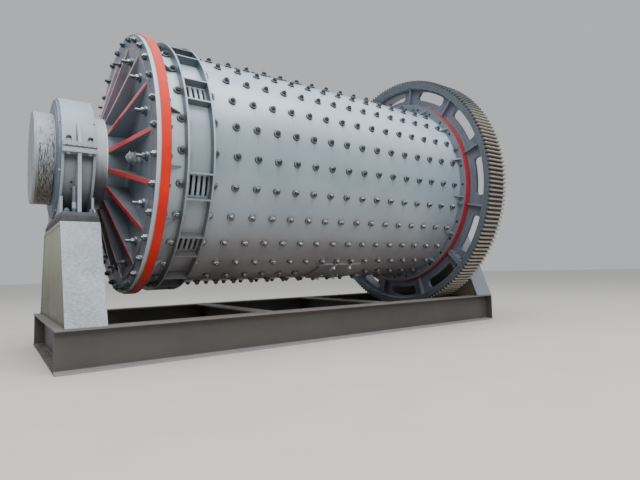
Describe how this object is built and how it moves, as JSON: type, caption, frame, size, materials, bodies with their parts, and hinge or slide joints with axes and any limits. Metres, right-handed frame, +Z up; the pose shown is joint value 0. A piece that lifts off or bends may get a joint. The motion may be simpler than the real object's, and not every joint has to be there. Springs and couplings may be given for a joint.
{
  "type": "rod mill",
  "caption": "Horizontal rod mill with a bolted shell, peripheral discharge ring, spur girth gear and two trunnion bearings on pedestals over an open beam frame; the drum turns freely",
  "frame": {"origin": "on the ground, below the middle of the shell, centred between the two side beams", "axes": "+X along the mill axis from the discharge end to the drive end, +Y across the mill, +Z up"},
  "size_m": [6.45, 3.8, 4.03],
  "materials": {
    "frame_paint": "dark grey-brown shop primer, dusty",
    "pedestal_paint": "light grey paint, worn",
    "sole_steel": "dark primer",
    "bearing_paint": "light blue-grey paint, satin",
    "bush_metal": "white metal, machined",
    "shell_paint": "light blue-grey paint, satin",
    "flange_paint": "blue-grey paint with a red rim",
    "head_paint": "blue-grey paint, red rib edges",
    "gear_steel": "grey primer, bare machined teeth",
    "cast_ring": "rough casting under grey paint",
    "sleeve_steel": "bare steel"
  },
  "bodies": {
    "base": {"front_side_beam": "frame_paint", "rear_side_beam": "frame_paint", "discharge_end_beam": "frame_paint", "drive_end_beam": "frame_paint", "discharge_cross_beam": "frame_paint", "drive_cross_beam": "frame_paint", "discharge_pedestal": "pedestal_paint", "discharge_sole_plate": "sole_steel", "discharge_bearing_housing": "bearing_paint", "discharge_bearing_cap": "bearing_paint", "discharge_bearing_bush": "bush_metal", "discharge_seal_ring": "bearing_paint", "drive_pedestal": "pedestal_paint", "drive_sole_plate": "sole_steel", "drive_bearing_housing": "bearing_paint", "drive_bearing_cap": "bearing_paint", "drive_bearing_bush": "bush_metal", "drive_seal_ring": "bearing_paint"},
    "drum": {"shell_barrel": "shell_paint", "discharge_shell_course": "shell_paint", "discharge_grates": "shell_paint", "shell_band_segments": "shell_paint", "manhole_cover": "shell_paint", "discharge_shell_flange": "flange_paint", "drive_shell_flange": "flange_paint", "discharge_ring_outer_plate": "shell_paint", "discharge_ring_inner_plate": "shell_paint", "window_dividers": "shell_paint", "discharge_head": "head_paint", "drive_head": "head_paint", "girth_gear_upper_half": "gear_steel", "girth_gear_lower_half": "gear_steel", "discharge_trunnion_ring": "cast_ring", "drive_trunnion_ring": "cast_ring", "discharge_trunnion_sleeve": "sleeve_steel", "drive_trunnion_sleeve": "sleeve_steel", "discharge_trunnion_cover": "cast_ring"}
  },
  "joints": [
    {"name": "drum_spin", "type": "hinge", "parent": "base", "child": "drum", "pos_m": [0, 0, 2.13], "axis": [1, 0, 0], "continuous": true}
  ]
}
